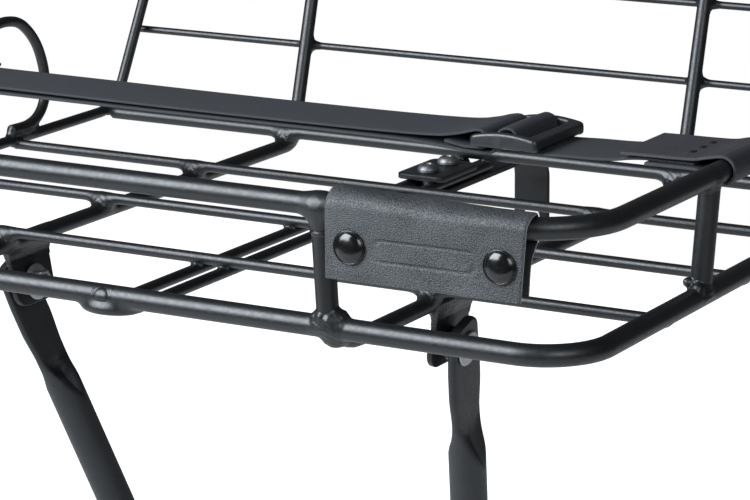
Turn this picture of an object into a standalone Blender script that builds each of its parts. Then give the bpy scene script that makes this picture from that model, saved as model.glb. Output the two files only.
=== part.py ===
"""Bicycle front carrier: a tube and wire deck with a raised wire back wall.

The deck hangs from the fork crown by a slotted arm and stands on two flattened tube struts
that reach down to the front axle. A webbing strap with a slide buckle crosses the deck, and
a folded leather label hangs from the front rail.

World frame: the origin is the crown bolt's centre on the rear face of the crown arm, +X to
the right along the front rail, +Y back towards the bicycle, +Z up. Inside this file most
sizes are given in millimetres from the front base rail's centre line, by deck().
"""
import math

import bmesh
import bpy
from mathutils import Matrix, Vector

MM = 0.001
GAP = 0.3                      # clearance between touching pieces

# Where the deck's own zero (front base rail, middle) lies below
CROWN_Y = 422.5                # from the front rail back to the crown arm's rear face
CROWN_Z = -57.0                # the crown bolt's height from the base rail

# Frame tubes
RAIL_R = 5.0                   # base ring, top rail and posts
BASE_HALF = 236.0              # middle plane to the base ring's side
BASE_BEND = 30.0
RAIL_HALF = 240.0              # middle plane to the top rail's side
RAIL_BEND = 40.0
RAIL_Y = -5.0                  # the top rail's front lies a little ahead of the base ring's
RAIL_Z = 55.4
TUBE_END_Y = 206.0             # where the side tubes are swaged down to the rods
SWAGE = 12.0
SIDE_ROD_R = 3.0

# Deck rods, front to back, and the rods and tubes under them
DECK_ROD_R = 2.7
DECK_ROD_Z = -2.3
DECK_ROD_YS = (86.0, 171.0, 257.0)
REAR_RAIL_Y = 352.0
REAR_RAIL_R = 3.5
REAR_RAIL_Z = -1.5
CROSS_X = 119.0
CROSS_R = 4.0
CROSS_Z = -RAIL_R - GAP - CROSS_R
SPINE_X = 7.4
SPINE_R = 2.8
SPINE_Z = -RAIL_R - GAP - SPINE_R
NOSE_R = 15.0
NOSE_THICK = 3.0
NOSE_BACK_Y = 14.0

# Posts between the base ring and the top rail
FRONT_POST_X = 116.0
SIDE_POST_Y = 124.0

# Back wall
WALL_FOOT_Y = 361.5
WALL_LEAN = 0.29               # backward travel for each unit of height
WALL_HALF = 241.0
WALL_NARROW = 0.16             # inward travel for each unit of height
WALL_TOP_Z = 195.0
WALL_UPRIGHT_R = 3.4
WALL_ROD_R = 2.0
WALL_ROD_ZS = (43.0, 83.0, 123.0, 163.0)

# Side hoops, as distance back and height from the rail's end down to the base side
HOOP_R = 2.9

# Struts and their brackets
STRUT_IN = 0.174               # inward travel for each unit of drop
STRUT_BACK = 0.390             # backward travel for each unit of drop
STRUT_DROP = 381.0
PIVOT_X = 117.2                # on the bracket's middle plane
PIVOT_Y = 105.0
PIVOT_Z = -31.9
PLATE = 3.0                    # sheet thickness of brackets and crown arm
BRACKET_WIDTH = 34.0
BRACKET_TOP_Z = CROSS_Z - CROSS_R - 0.7
BRACKET_DROP = 11.5            # pivot to the bracket's lower edge
BRACKET_CORNER = 8.5
SPACER = 4.4                   # thickness of the spacer between bracket and strut
SPACER_R = 8.0
STRUT_OFFSET = PLATE / 2 + SPACER + 2 * GAP + 2.25   # bracket's middle to the strut's
STRUT_R = 9.0
STRUT_FLAT = 12.6              # half width of the flattened ends
STRUT_FLAT_T = 2.25            # half thickness of the flattened ends
BOLT_R = 3.0
HOLE_R = 3.4
AXLE_HOLE_R = 5.0

# Crown arm and its clamp
ARM_HALF = 10.5
ARM_FRONT_Y = 292.0
ARM_BEND = 16.0
ARM_END_Z = -74.0
ARM_SLOT = (-68.5, -45.5)
ARM_SLOT_R = 5.5
ARM_Z = SPINE_Z - SPINE_R - GAP - PLATE / 2
ARM_Y = CROWN_Y - PLATE / 2
CLAMP_YS = (300.0, 322.0)
CLAMP_HALF = (14.0, 21.0)
CLAMP_Z = SPINE_Z + SPINE_R + GAP + PLATE / 2

# Leather label on the front rail
LABEL_X = (121.8, 215.5)
LABEL_SLACK = 3.6              # room behind the rail, which bends back at the label's end
LEATHER = 1.8
LABEL_DROP = 30.0
SNAP_XS = (134.0, 206.0)
SNAP_DROP = 14.6

# Luggage strap
STRAP_Y = 160.0
WEBBING = 42.0
WEBBING_T = 1.4
STRAP_Z = 56.7
ANCHOR = 48.0
ANCHOR_T = 1.6
BUCKLE_X = 130.5
BUCKLE_Z = 57.5
BUCKLE_T = 6.0

PART_NAME = "bicycle_front_carrier"


def deck(x, y, z):
    """World position in metres of a point given in millimetres from the front base rail."""
    return Vector((x, y - CROWN_Y, z - CROWN_Z)) * MM


def clear_scene():
    for obj in list(bpy.data.objects):
        bpy.data.objects.remove(obj, do_unlink=True)


def make_collection(name):
    collection = bpy.data.collections.new(name)
    bpy.context.scene.collection.children.link(collection)
    return collection


clear_scene()
PARTS = make_collection(PART_NAME)
CUTTERS = make_collection(PART_NAME + "_cutters")


def make_material(name, color, metallic, roughness):
    material = bpy.data.materials.new(name)
    material.use_nodes = True
    shader = material.node_tree.nodes["Principled BSDF"]
    shader.inputs["Base Color"].default_value = (*color, 1.0)
    shader.inputs["Metallic"].default_value = metallic
    shader.inputs["Roughness"].default_value = roughness
    return material


LOOKS = {
    "coated": ((0.018, 0.019, 0.022), 0.1, 0.42),
    "zinc": ((0.55, 0.53, 0.50), 1.0, 0.35),
    "label": ((0.055, 0.058, 0.062), 0.0, 0.6),
    "anchor": ((0.050, 0.046, 0.052), 0.0, 0.65),
    "webbing": ((0.022, 0.022, 0.024), 0.0, 0.85),
    "plastic": ((0.020, 0.021, 0.023), 0.0, 0.4),
    "snap": ((0.012, 0.012, 0.013), 0.6, 0.18),
}


def finish_object(obj, look, collection=None):
    """Link an object and give it its own material."""
    (collection or PARTS).objects.link(obj)
    color, metallic, roughness = LOOKS[look]
    obj.data.materials.append(make_material(obj.name, color, metallic, roughness))
    return obj


# Routes and outlines

def rounded_route(corners, radii, steps=8):
    """A polyline through 3-D corners with an arc of the given radius at each inner corner."""
    route = [Vector(corners[0])]
    for before, corner, after, radius in zip(corners, corners[1:], corners[2:], radii):
        corner = Vector(corner)
        back = (Vector(before) - corner).normalized()
        ahead = (Vector(after) - corner).normalized()
        half = back.angle(ahead) / 2
        middle = (back + ahead).normalized()
        centre = corner + middle * (radius / math.sin(half))
        first = back * (radius / math.tan(half)) + corner - centre
        sweep = math.pi - 2 * half
        turn = back.cross(first).normalized()
        for step in range(steps + 1):
            route.append(centre + Matrix.Rotation(sweep * step / steps, 3, turn) @ first)
    route.append(Vector(corners[-1]))
    return route


def smooth_route(points, steps=6):
    """A Catmull-Rom curve through the given 3-D points."""
    points = [Vector(p) for p in points]
    ends = [2 * points[0] - points[1], *points, 2 * points[-1] - points[-2]]
    route = []
    for a, b, c, d in zip(ends, ends[1:], ends[2:], ends[3:]):
        for step in range(steps):
            t = step / steps
            route.append(0.5 * (2 * b + (c - a) * t + (2 * a - 5 * b + 4 * c - d) * t * t
                                + (3 * b - a - 3 * c + d) * t ** 3))
    route.append(points[-1])
    return route


def arc(x, y, radius, start_deg, end_deg, steps=8):
    """Points of a circular arc in a plane."""
    points = []
    for step in range(steps + 1):
        angle = math.radians(start_deg + (end_deg - start_deg) * step / steps)
        points.append((x + radius * math.cos(angle), y + radius * math.sin(angle)))
    return points


def band(path, thickness):
    """The outline of a strip of even thickness along a plane path."""
    left, right = [], []
    for i, point in enumerate(path):
        before = Vector(path[max(i - 1, 0)])
        after = Vector(path[min(i + 1, len(path) - 1)])
        here = Vector(point)
        first = (here - before).normalized() if i else (after - here).normalized()
        second = (after - here).normalized() if i < len(path) - 1 else first
        along = (first + second).normalized()
        side = Vector((-along.y, along.x)) * (thickness / 2 / max(along.dot(first), 0.6))
        left.append(here + side)
        right.append(here - side)
    return [tuple(p) for p in left + right[::-1]]


# Shapes

def add_spline(curve, points, cyclic, radii=None):
    spline = curve.splines.new("POLY")
    spline.points.add(len(points) - 1)
    for i, point in enumerate(points):
        spline.points[i].co = (*point, 1.0) if len(point) == 3 else (*point, 0.0, 1.0)
        if radii:
            spline.points[i].radius = radii[i]
    spline.use_cyclic_u = cyclic


def tube(name, points, radius, look="coated", radii=None, resolution=3):
    """A round tube along deck points, as a curve with a bevel and filled caps."""
    curve = bpy.data.curves.new(name, "CURVE")
    curve.dimensions = "3D"
    curve.bevel_depth = radius * MM
    curve.bevel_resolution = resolution
    curve.use_fill_caps = True
    add_spline(curve, [deck(*p) for p in points], False, radii)
    return finish_object(bpy.data.objects.new(name, curve), look)


def plate(name, outline, thickness, frame, look, holes=(), collection=None):
    """A flat outline with holes, extruded both ways from its plane, placed by a matrix."""
    curve = bpy.data.curves.new(name, "CURVE")
    curve.dimensions = "2D"
    curve.fill_mode = "BOTH"
    curve.extrude = thickness / 2 * MM
    for loop in (outline, *holes):
        add_spline(curve, [(x * MM, y * MM) for x, y in loop], True)
    obj = bpy.data.objects.new(name, curve)
    obj.matrix_world = frame
    return finish_object(obj, look, collection)


def frame_at(point, x_axis, y_axis):
    """A placement whose local X and Y lie along two given directions."""
    x_axis = Vector(x_axis).normalized()
    z_axis = x_axis.cross(Vector(y_axis)).normalized()
    y_axis = z_axis.cross(x_axis)
    turn = Matrix((x_axis, y_axis, z_axis)).transposed().to_4x4()
    return Matrix.Translation(deck(*point)) @ turn


def turned(name, profile, frame, look, steps=16):
    """A solid of revolution: (radius, height) points from the top down, about local Z."""
    mesh = bpy.data.meshes.new(name)
    mesh.from_pydata([(r * MM, 0.0, h * MM) for r, h in profile],
                     [(i, i + 1) for i in range(len(profile) - 1)], [])
    obj = bpy.data.objects.new(name, mesh)
    obj.matrix_world = frame
    screw = obj.modifiers.new("turn", "SCREW")
    screw.steps = steps
    screw.render_steps = steps
    screw.use_merge_vertices = True
    screw.merge_threshold = 0.00001
    return finish_object(obj, look)


def curve_to_mesh(obj):
    """Replace a curve object by a closed mesh object of the same name and place."""
    name, frame = obj.name, obj.matrix_world.copy()
    evaluated = obj.evaluated_get(bpy.context.evaluated_depsgraph_get())
    mesh = bpy.data.meshes.new_from_object(evaluated)
    work = bmesh.new()
    work.from_mesh(mesh)
    bmesh.ops.remove_doubles(work, verts=work.verts, dist=0.000005)
    work.to_mesh(mesh)
    work.free()
    collection = obj.users_collection[0]
    bpy.data.objects.remove(obj, do_unlink=True)
    solid = bpy.data.objects.new(name, mesh)
    solid.matrix_world = frame
    collection.objects.link(solid)
    return solid


def loft(name, sections, look, origin):
    """A closed skin over rings of equal point count, in deck millimetres, about an origin."""
    work = bmesh.new()
    rings = [[work.verts.new((p - origin) * MM) for p in section] for section in sections]
    for low, high in zip(rings, rings[1:]):
        for i in range(len(low)):
            j = (i + 1) % len(low)
            work.faces.new((low[i], low[j], high[j], high[i]))
    work.faces.new(rings[0][::-1])
    work.faces.new(rings[-1])
    bmesh.ops.recalc_face_normals(work, faces=work.faces)
    mesh = bpy.data.meshes.new(name)
    work.to_mesh(mesh)
    work.free()
    obj = bpy.data.objects.new(name, mesh)
    obj.matrix_world = Matrix.Translation(deck(*origin))
    return finish_object(obj, look)


def drill(obj, point, axis, radius, length=40.0):
    """Cut a round hole through an object."""
    work = bmesh.new()
    bmesh.ops.create_cone(work, cap_ends=True, segments=16, radius1=radius * MM,
                          radius2=radius * MM, depth=length * MM)
    mesh = bpy.data.meshes.new(obj.name + "_hole")
    work.to_mesh(mesh)
    work.free()
    cutter = bpy.data.objects.new(mesh.name, mesh)
    cutter.matrix_world = (Matrix.Translation(deck(*point))
                           @ Vector(axis).to_track_quat("Z", "Y").to_matrix().to_4x4())
    cutter.hide_render = True
    cutter.display_type = "WIRE"
    CUTTERS.objects.link(cutter)
    cut = obj.modifiers.new("hole", "BOOLEAN")
    cut.object = cutter
    cut.operation = "DIFFERENCE"
    cut.solver = "EXACT"


# Frame

def swaged_side_tube(name, half, front_y, z, bend):
    """A U of tube open to the rear, whose ends narrow to the rod that follows."""
    corners = [(-half, TUBE_END_Y, z), (-half, TUBE_END_Y - SWAGE, z), (-half, front_y, z),
               (half, front_y, z), (half, TUBE_END_Y - SWAGE, z), (half, TUBE_END_Y, z)]
    left_bend = rounded_route(corners[1:4], [bend])
    right_bend = rounded_route(corners[2:5], [bend])
    route = [corners[0], *left_bend[:-1], *right_bend[1:], corners[-1]]
    radii = [SIDE_ROD_R / RAIL_R] + [1.0] * (len(route) - 2) + [SIDE_ROD_R / RAIL_R]
    tube(name, route, RAIL_R, radii=radii, resolution=4)


def posts():
    low = RAIL_R + GAP
    high = RAIL_Z - RAIL_R - GAP
    for side, word in ((-1, "left"), (1, "right")):
        front_x = side * FRONT_POST_X
        tube("front_post_" + word, [(front_x, 0.0, low), (front_x, RAIL_Y, high)], RAIL_R)
        tube("side_post_" + word, [(side * BASE_HALF, SIDE_POST_Y, low),
                                   (side * RAIL_HALF, SIDE_POST_Y, high)], RAIL_R)


def deck_rods():
    for number, y in enumerate(DECK_ROD_YS, start=1):
        edge = SIDE_ROD_R if y > TUBE_END_Y else RAIL_R
        half = BASE_HALF - edge - GAP
        tube("deck_rod_%d" % number, [(-half, y, DECK_ROD_Z), (half, y, DECK_ROD_Z)],
             DECK_ROD_R, resolution=2)
    half = BASE_HALF - SIDE_ROD_R - GAP
    tube("rear_rail", [(-half, REAR_RAIL_Y, REAR_RAIL_Z), (half, REAR_RAIL_Y, REAR_RAIL_Z)],
         REAR_RAIL_R)


def wall_point(x, z):
    """A point of the leaning back wall's plane."""
    return (x, WALL_FOOT_Y + WALL_LEAN * z, z)


def cross_tubes():
    """Tubes under the deck that turn up behind the rear rail and become wall uprights."""
    top = WALL_TOP_Z - SIDE_ROD_R - WALL_UPRIGHT_R
    for side, word in ((-1, "left"), (1, "right")):
        x = side * CROSS_X
        corners = [(x, 2.0, CROSS_Z), wall_point(x, CROSS_Z), wall_point(x, top)]
        route = rounded_route(corners, [12.0])
        thin = WALL_UPRIGHT_R / CROSS_R
        radii = [1.0 if p[2] < CROSS_Z + 0.1 else thin for p in route]
        tube("cross_tube_" + word, route, CROSS_R, radii=radii)


def back_wall():
    top_half = WALL_HALF - WALL_NARROW * WALL_TOP_Z
    foot = WALL_FOOT_Y - 4.0
    start = TUBE_END_Y + GAP
    corners = [(-BASE_HALF, start, 0.0), (-BASE_HALF - 2.0, foot, 0.0),
               wall_point(-top_half, WALL_TOP_Z), wall_point(top_half, WALL_TOP_Z),
               (BASE_HALF + 2.0, foot, 0.0), (BASE_HALF, start, 0.0)]
    route = rounded_route(corners, [22.0, 30.0, 30.0, 22.0])
    tube("wall_frame", route, SIDE_ROD_R)
    behind = WALL_UPRIGHT_R + WALL_ROD_R + GAP + 0.3
    for number, z in enumerate(WALL_ROD_ZS, start=1):
        half = WALL_HALF - WALL_NARROW * z + SIDE_ROD_R / 2
        y = wall_point(0.0, z)[1] + behind
        tube("wall_rod_%d" % number, [(-half, y, z), (half, y, z)], WALL_ROD_R, resolution=2)


def side_hoops():
    """Rods that carry the top rail on, over and down to the base's side."""
    seat = SIDE_ROD_R + GAP + HOOP_R
    for side, word in ((-1, "left"), (1, "right")):
        high, low = side * RAIL_HALF, side * (BASE_HALF + 0.5)
        points = [(high, TUBE_END_Y + GAP, RAIL_Z), (high, 212.0, RAIL_Z),
                  (high, 224.0, 58.4), (high, 240.0, 63.5),
                  (high, 256.0, 65.5), (high, 271.0, 62.0), (high, 284.0, 50.0),
                  (high, 291.0, 34.0), (high - side, 290.0, 19.0),
                  (low + side, 282.0, 10.0), (low, 270.0, seat + 0.4), (low, 254.0, seat)]
        tube("side_hoop_" + word, smooth_route(points, 4), HOOP_R)


def spine():
    """Two rods down the middle, which the crown arm's clamp grips, and their nose plate."""
    for side, word in ((-1, "left"), (1, "right")):
        x = side * SPINE_X
        tube("spine_rod_" + word, [(x, NOSE_BACK_Y + GAP, SPINE_Z),
                                   (x, REAR_RAIL_Y + 3.0, SPINE_Z)], SPINE_R, resolution=2)
    outline = arc(0.0, 4.0, NOSE_R, 180.0, 360.0, 16)
    outline += [(NOSE_R, NOSE_BACK_Y), (-NOSE_R, NOSE_BACK_Y)]
    z = -RAIL_R - GAP - NOSE_THICK / 2
    plate("nose_plate", outline, NOSE_THICK, Matrix.Translation(deck(0.0, 0.0, z)), "coated")
    face = frame_at((0.0, -RAIL_R - GAP, 0.0), (1, 0, 0), (0, 0, 1))
    turned("nose_rivet", [(0.0, 1.3), (1.8, 1.1), (3.0, 0.4), (3.0, 0.0), (0.0, 0.0)], face,
           "coated")


# Struts

def strut_frame(side):
    """The direction down the strut, and the outward direction of its bolt."""
    down = Vector((-side * STRUT_IN, STRUT_BACK, -1.0)).normalized()
    outward = Vector((side, 0.0, -STRUT_IN)).normalized()
    return down, outward


def pivot_point(side):
    """The pivot on the bracket's middle plane."""
    return Vector((side * PIVOT_X, PIVOT_Y, PIVOT_Z))


def strut_bracket(side, word):
    _, outward = strut_frame(side)
    half = BRACKET_WIDTH / 2
    rise = (BRACKET_TOP_Z - PIVOT_Z) * math.hypot(1.0, STRUT_IN)
    x, y = half - BRACKET_CORNER, BRACKET_CORNER - BRACKET_DROP
    outline = [(-half, rise)] + arc(-x, y, BRACKET_CORNER, 180.0, 270.0)
    outline += arc(x, y, BRACKET_CORNER, 270.0, 360.0) + [(half, rise)]
    up = Vector((side * STRUT_IN, 0.0, 1.0))
    frame = frame_at(pivot_point(side), (0, 1, 0), up)
    hole = arc(0.0, 0.0, HOLE_R, 0.0, 337.5, 15)
    plate("strut_bracket_" + word, outline, PLATE, frame, "coated", holes=[hole])


def strut_section(centre, across, outward, half_width, half_thick, flatness, count=16):
    """A tube section pressed flat: flatness 1 is round, larger is flatter."""
    points = []
    for i in range(count):
        angle = 2 * math.pi * i / count
        flat = max(-1.0, min(1.0, flatness * math.sin(angle)))
        wide = math.cos(angle)
        points.append(centre + across * (half_width * wide) + outward * (half_thick * flat))
    return points


def strut(side, word):
    down, outward = strut_frame(side)
    across = outward.cross(down).normalized()
    start = pivot_point(side) + outward * STRUT_OFFSET
    length = STRUT_DROP * math.sqrt(1 + STRUT_IN ** 2 + STRUT_BACK ** 2)
    flat = (STRUT_FLAT, STRUT_FLAT_T, 5.0)
    round_tube = (STRUT_R, STRUT_R, 1.0)
    stations = [(-13.0, 5.8, STRUT_FLAT_T, 5.0), (-11.5, 8.0, STRUT_FLAT_T, 5.0),
                (-7.0, 10.4, STRUT_FLAT_T, 5.0), (0.0, 11.6, STRUT_FLAT_T, 5.0),
                (10.0, *flat), (26.0, *flat), (42.0, 11.0, STRUT_FLAT_T, 5.0),
                (48.0, 10.4, 3.6, 2.4), (55.0, 9.6, 6.6, 1.4), (62.0, *round_tube)]
    stations += [(length - s, *rest) for s, *rest in reversed(stations)]
    sections = [strut_section(start + down * s, across, outward, a, b, f)
                for s, a, b, f in stations]
    body = loft("strut_" + word, sections, "coated", pivot_point(side))
    drill(body, start, outward, HOLE_R)
    drill(body, start + down * length, outward, AXLE_HOLE_R)


def hexagon(flats):
    return arc(0.0, 0.0, flats / math.sqrt(3), 0.0, 300.0, 5)


def strut_fasteners(side, word):
    """Pan-head bolt from outside, through strut and bracket, with washer and nut inside."""
    _, outward = strut_frame(side)
    pivot = pivot_point(side)
    seat = STRUT_OFFSET + STRUT_FLAT_T + GAP
    tip = -PLATE / 2 - GAP - 1.6 - GAP - 5.0
    profile = [(0.0, seat + 4.0), (3.2, seat + 3.8), (5.0, seat + 2.6), (5.5, seat + 1.0),
               (5.5, seat), (BOLT_R, seat), (BOLT_R, tip - 1.0), (0.0, tip - 1.0)]
    turn = outward.to_track_quat("Z", "Y").to_matrix().to_4x4()
    frame = Matrix.Translation(deck(*pivot)) @ turn
    turned("strut_bolt_" + word, profile, frame, "zinc")
    hole = arc(0.0, 0.0, HOLE_R, 0.0, 337.5, 15)
    washer = Matrix.Translation(Vector((0, 0, (-PLATE / 2 - GAP - 0.8) * MM)))
    plate("strut_washer_" + word, arc(0.0, 0.0, 9.0, 0.0, 345.0, 23), 1.6, frame @ washer,
          "zinc", holes=[hole])
    between = Matrix.Translation(Vector((0, 0, (PLATE / 2 + GAP + SPACER / 2) * MM)))
    plate("strut_spacer_" + word, arc(0.0, 0.0, SPACER_R, 0.0, 345.0, 23), SPACER,
          frame @ between, "plastic", holes=[hole])
    nut = Matrix.Translation(Vector((0, 0, (tip + 2.5) * MM)))
    plate("strut_nut_" + word, hexagon(10.0), 5.0, frame @ nut, "zinc", holes=[hole])


# Crown arm

def crown_arm():
    """A strip under the spine rods, bent down to a slotted face for the fork crown's bolt."""
    path = [(ARM_FRONT_Y, ARM_Z), (ARM_Y - ARM_BEND, ARM_Z)]
    path += arc(ARM_Y - ARM_BEND, ARM_Z - ARM_BEND, ARM_BEND, 90.0, 0.0, 8)[1:]
    path.append((ARM_Y, ARM_END_Z))
    frame = frame_at((0.0, 0.0, 0.0), (0, 1, 0), (0, 0, 1))
    arm = curve_to_mesh(plate("crown_arm", band(path, PLATE), 2 * ARM_HALF, frame, "coated"))
    for y in CLAMP_YS:
        drill(arm, (0.0, y, ARM_Z), (0, 0, 1), HOLE_R)
    low, high = ARM_SLOT
    outline = arc(0.0, high - ARM_SLOT_R, ARM_SLOT_R, 0.0, 180.0)
    outline += arc(0.0, low + ARM_SLOT_R, ARM_SLOT_R, 180.0, 360.0)
    slot_frame = frame_at((0.0, ARM_Y, 0.0), (1, 0, 0), (0, 0, 1))
    slot = curve_to_mesh(plate("crown_slot", outline, 20.0, slot_frame, "coated",
                               collection=CUTTERS))
    slot.hide_render = True
    slot.display_type = "WIRE"
    cut = arm.modifiers.new("slot", "BOOLEAN")
    cut.object = slot
    cut.operation = "DIFFERENCE"
    cut.solver = "EXACT"


def crown_clamp():
    """A plate over the spine rods, bolted through to the arm below between the two rods."""
    half_x, half_y = CLAMP_HALF
    middle = sum(CLAMP_YS) / 2
    outline = [(-half_x, -half_y), (half_x, -half_y), (half_x, half_y), (-half_x, half_y)]
    holes = [arc(0.0, y - middle, HOLE_R, 0.0, 337.5, 15) for y in CLAMP_YS]
    plate("clamp_plate", outline, PLATE, Matrix.Translation(deck(0.0, middle, CLAMP_Z)),
          "coated", holes=holes)
    seat = PLATE / 2 + GAP
    nut_top = ARM_Z - PLATE / 2 - GAP - CLAMP_Z
    for number, y in enumerate(CLAMP_YS, start=1):
        frame = Matrix.Translation(deck(0.0, y, CLAMP_Z))
        profile = [(0.0, seat + 4.2), (3.0, seat + 4.0), (5.0, seat + 2.8), (5.6, seat + 1.0),
                   (5.6, seat), (BOLT_R, seat), (BOLT_R, nut_top - 6.0), (0.0, nut_top - 6.0)]
        turned("clamp_bolt_%d" % number, profile, frame, "zinc")
        nut = frame @ Matrix.Translation(Vector((0, 0, (nut_top - 2.5) * MM)))
        plate("clamp_nut_%d" % number, hexagon(10.0), 5.0, nut, "zinc",
              holes=[arc(0.0, 0.0, HOLE_R, 0.0, 337.5, 15)])


# Leather label

def label():
    """Leather folded over the front top rail, snapped together below it."""
    wrap = RAIL_R + 0.4 + LEATHER / 2
    path = [(-wrap, -LABEL_DROP), (-wrap, -SNAP_DROP)]
    path += arc(0.0, 0.0, wrap, 180.0, 90.0, 7)
    path += arc(LABEL_SLACK, 0.0, wrap, 90.0, 0.0, 7)
    path += [(LABEL_SLACK + 5.4, -3.6), (2.6, -8.2), (0.2, -9.4), (0.0, -LABEL_DROP + 1.5)]
    middle = sum(LABEL_X) / 2
    frame = frame_at((middle, RAIL_Y, RAIL_Z), (0, 1, 0), (0, 0, 1))
    plate("label_leather", band(path, LEATHER), LABEL_X[1] - LABEL_X[0], frame, "label")
    front = RAIL_Y - wrap - LEATHER / 2
    between = RAIL_Y - wrap + LEATHER / 2
    rear = RAIL_Y + LEATHER / 2 + 0.2
    cap = [(0.0, 2.9), (2.6, 2.75), (4.8, 2.25), (6.6, 1.3), (7.6, 0.4), (7.6, 0.0), (0.0, 0.0)]
    socket = [(0.0, 3.9), (5.0, 3.9), (5.0, 0.0), (0.0, 0.0)]
    stud = [(0.0, 1.2), (4.0, 1.2), (5.0, 0.6), (5.0, 0.0), (0.0, 0.0)]
    z = RAIL_Z - SNAP_DROP - 0.6
    for x, word in zip(SNAP_XS, ("left", "right")):
        turned("snap_cap_" + word, cap, frame_at((x, front - GAP, z), (1, 0, 0), (0, 0, 1)),
               "snap", steps=24)
        turned("snap_socket_" + word, socket,
               frame_at((x, between + GAP, z), (-1, 0, 0), (0, 0, 1)), "zinc")
        turned("snap_stud_" + word, stud,
               frame_at((x, rear + GAP, z), (-1, 0, 0), (0, 0, 1)), "snap")


# Luggage strap

def strap_anchor(side, word):
    """Leather folded round the side rail, with the webbing's end between its two layers."""
    wrap = RAIL_R + 0.4 + ANCHOR_T / 2
    path = [(-38.0, -0.6), (-14.0, -0.6), (-9.0, -1.4)]
    path += arc(0.0, 0.0, wrap, 215.0, 450.0, 16)
    path += [(-6.0, 5.4), (-13.0, 3.6), (-50.0, 3.2)]
    frame = frame_at((side * RAIL_HALF, STRAP_Y, RAIL_Z), (side, 0, 0), (0, 0, 1))
    plate("strap_anchor_" + word, band(path, ANCHOR_T), ANCHOR, frame, "anchor")


def strap_piece(name, path):
    frame = frame_at((0.0, STRAP_Y, 0.0), (1, 0, 0), (0, 0, 1))
    plate(name, band(path, WEBBING_T), WEBBING, frame, "webbing")


def strap_webbing():
    """The long webbing is looped round the buckle's far bar; the short one comes up through
    the buckle, over its middle bar and down, and its free end lies under the long one."""
    end = RAIL_HALF - 15.0
    over = BUCKLE_Z + BUCKLE_T / 2 + WEBBING_T / 2 + 0.5
    under = BUCKLE_Z - BUCKLE_T / 2 - WEBBING_T / 2 - 0.5
    x = BUCKLE_X
    long_path = [(-end, STRAP_Z), (-190.0, STRAP_Z), (-60.0, STRAP_Z), (60.0, STRAP_Z + 0.3),
                 (x - 40.0, STRAP_Z + 1.2), (x - 26.0, STRAP_Z + 2.6), (x - 17.0, over),
                 (x - 12.2, over), (x - 11.0, over - 1.4), (x - 11.0, under + 1.2),
                 (x - 12.4, under - 0.1), (x - 20.0, under), (x - 34.0, STRAP_Z - 1.6)]
    strap_piece("strap_long", long_path)
    low = STRAP_Z - 4.2
    short_path = [(end, STRAP_Z), (201.0, STRAP_Z), (186.0, STRAP_Z - 2.6), (x + 30.0, under),
                  (x + 12.0, under), (x + 7.0, under + 0.4), (x + 5.0, under + 2.2),
                  (x + 4.6, over - 1.4), (x + 2.6, over), (x - 3.2, over),
                  (x - 5.4, over - 1.4), (x - 6.0, under + 0.4), (x - 8.4, under - 2.2),
                  (x - 14.0, under - 2.4), (x - 50.0, low), (-60.0, low), (-175.0, low)]
    strap_piece("strap_short", short_path)


def buckle():
    """A three-bar slide buckle."""
    half_x, half_y = 17.5, WEBBING / 2 + 4.6
    slot_half_y = WEBBING / 2 + 0.6
    outline = [(-half_x + 2, -half_y), (half_x - 2, -half_y), (half_x, -half_y + 2),
               (half_x, half_y - 2), (half_x - 2, half_y), (-half_x + 2, half_y),
               (-half_x, half_y - 2), (-half_x, -half_y + 2)]
    slots = [[(a, -slot_half_y), (b, -slot_half_y), (b, slot_half_y), (a, slot_half_y)]
             for a, b in ((-12.5, -3.2), (2.8, 12.5))]
    plate("buckle", outline, BUCKLE_T, Matrix.Translation(deck(BUCKLE_X, STRAP_Y, BUCKLE_Z)),
          "plastic", holes=slots)


swaged_side_tube("base_ring", BASE_HALF, 0.0, 0.0, BASE_BEND)
swaged_side_tube("top_rail", RAIL_HALF, RAIL_Y, RAIL_Z, RAIL_BEND)
posts()
deck_rods()
cross_tubes()
back_wall()
side_hoops()
spine()
for SIDE, WORD in ((-1, "left"), (1, "right")):
    strut_bracket(SIDE, WORD)
    strut(SIDE, WORD)
    strut_fasteners(SIDE, WORD)
    strap_anchor(SIDE, WORD)
crown_arm()
crown_clamp()
label()
strap_webbing()
buckle()
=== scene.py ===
"""Looks for the bicycle front carrier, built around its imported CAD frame.

Lengths are millimetres in the deck's own axes: X to the right, Y back from the front base
rail's centre line, Z up from it. world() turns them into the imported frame's metres.
"""
import math

import bmesh
import bpy
import numpy as np
from mathutils import Matrix, Vector

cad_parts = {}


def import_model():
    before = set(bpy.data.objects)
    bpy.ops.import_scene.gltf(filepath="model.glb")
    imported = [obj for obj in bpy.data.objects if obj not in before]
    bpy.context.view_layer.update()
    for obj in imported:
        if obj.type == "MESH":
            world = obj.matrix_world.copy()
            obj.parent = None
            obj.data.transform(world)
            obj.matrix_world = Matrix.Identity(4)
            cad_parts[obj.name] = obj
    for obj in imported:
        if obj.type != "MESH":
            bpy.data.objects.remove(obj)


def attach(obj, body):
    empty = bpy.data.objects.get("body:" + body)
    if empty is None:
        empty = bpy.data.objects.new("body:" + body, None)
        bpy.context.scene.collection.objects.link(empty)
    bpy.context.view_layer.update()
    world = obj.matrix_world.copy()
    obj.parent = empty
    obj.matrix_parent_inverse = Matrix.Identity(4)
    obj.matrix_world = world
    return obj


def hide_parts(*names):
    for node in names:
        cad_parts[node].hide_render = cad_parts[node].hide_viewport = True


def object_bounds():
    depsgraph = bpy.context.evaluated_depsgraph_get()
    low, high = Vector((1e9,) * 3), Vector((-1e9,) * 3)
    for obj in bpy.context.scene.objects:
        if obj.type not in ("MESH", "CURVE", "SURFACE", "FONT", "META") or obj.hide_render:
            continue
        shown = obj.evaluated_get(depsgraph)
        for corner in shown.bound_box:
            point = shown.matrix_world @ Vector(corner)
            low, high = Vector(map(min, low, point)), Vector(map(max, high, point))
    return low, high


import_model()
CAD_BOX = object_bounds()

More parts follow.
